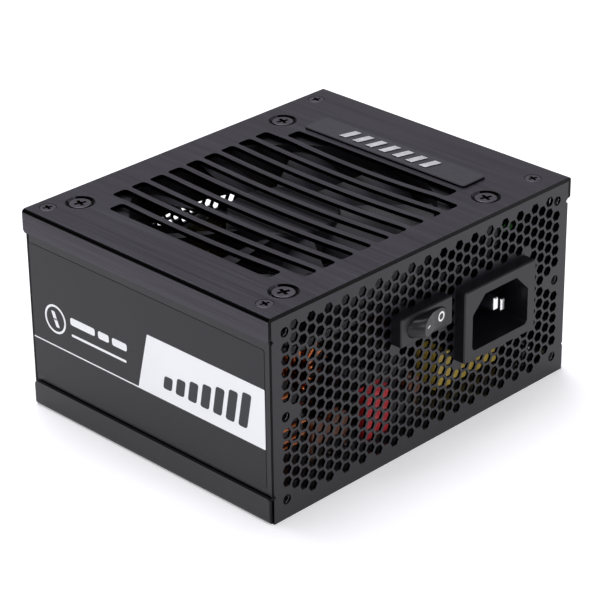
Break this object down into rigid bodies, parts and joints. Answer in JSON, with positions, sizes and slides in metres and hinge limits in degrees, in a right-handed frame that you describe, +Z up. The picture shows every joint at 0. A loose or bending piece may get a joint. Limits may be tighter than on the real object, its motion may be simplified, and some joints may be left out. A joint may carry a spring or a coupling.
{
  "type": "power supply unit",
  "caption": "Small box-shaped computer power supply with a slotted fan grille, a honeycomb mains panel with rocker switch and inlet, and rear output sockets.",
  "frame": {"origin": "centre of the case bottom face", "axes": "+Z up, +X along the case width, mains panel faces -Y, output sockets face +Y"},
  "size_m": [0.125, 0.1073, 0.0645],
  "materials": {
    "steel_black": "satin black powder coat",
    "brushed_black": "brushed, black anodised",
    "zinc": "bright zinc",
    "screw_black": "black zinc",
    "strip_grey": "smooth dark grey",
    "strip_silver": "satin silver",
    "label_dark": "printed film",
    "fan_black": "moulded black",
    "bearing_bronze": "sintered bronze",
    "lamination": "laminated steel",
    "copper": "enamelled copper",
    "ferrite": "sintered ferrite",
    "switch_black": "moulded black",
    "tin": "tinned brass",
    "sheet_clear": "insulating film",
    "board_dark": "solder mask",
    "cap_yellow": "moulded box",
    "cap_red": "moulded box",
    "cap_ceramic": "dipped ceramic",
    "epoxy_black": "moulded epoxy",
    "can_sleeve": "sleeved can",
    "can_bare": "bare can",
    "heatsink_alu": "mill finish",
    "wire_brown": "insulated wire",
    "wire_blue": "insulated wire",
    "wire_green": "insulated wire"
  },
  "bodies": {
    "case": {"tray": "steel_black", "io_panel": "steel_black", "mount_bosses": "zinc", "output_panel": "steel_black", "cover": "steel_black", "top_plate": "brushed_black", "corner_brackets": "steel_black", "fan_screws": "screw_black", "corner_screws": "screw_black", "name_strip": "strip_grey", "strip_bars": "strip_silver", "side_label": "label_dark", "rating_label": "label_dark", "fan_frame": "fan_black", "fan_bearing": "bearing_bronze", "fan_stator": "lamination", "fan_windings": "copper", "switch_body": "switch_black", "switch_terminals": "tin", "inlet_body": "switch_black", "inlet_pins": "tin", "insulation_sheet": "sheet_clear", "standoffs": "zinc", "board_screws": "zinc", "main_board": "board_dark", "line_choke_core": "ferrite", "line_choke_winding": "copper", "pfc_choke_core": "ferrite", "pfc_choke_winding": "copper", "line_capacitor": "cap_yellow", "red_capacitor": "cap_red", "disc_capacitors": "cap_ceramic", "fuse": "epoxy_black", "line_filter_core": "ferrite", "bulk_capacitor": "can_sleeve", "heatsink": "heatsink_alu", "transistors": "epoxy_black", "transformer_core": "ferrite", "transformer_winding": "cap_yellow", "standby_transformer": "cap_yellow", "output_capacitors": "can_sleeve", "polymer_capacitors": "can_bare", "converter_boards": "board_dark", "converter_coils": "epoxy_black", "control_board": "board_dark", "control_chips": "epoxy_black", "rectifier": "epoxy_black", "output_board": "board_dark", "bus_bars": "copper", "sockets_board": "epoxy_black", "sockets_drive": "epoxy_black", "sockets_power": "epoxy_black", "socket_pins": "tin", "line_wire": "wire_brown", "neutral_wire": "wire_blue", "earth_wire": "wire_green"},
    "rotor": {"fan_rotor": "fan_black", "fan_shaft": "zinc", "fan_magnet": "ferrite"},
    "rocker": {"switch_rocker": "switch_black"}
  },
  "joints": [
    {"name": "fan_spin", "type": "hinge", "parent": "case", "child": "rotor", "pos_m": [-0.0067, 0, 0.052], "axis": [0, 0, 1], "continuous": true},
    {"name": "switch_rocker", "type": "hinge", "parent": "case", "child": "rocker", "pos_m": [-0.0043, -0.0494, 0.04205], "axis": [0, 0, -1], "range_deg": [0, 30]}
  ]
}
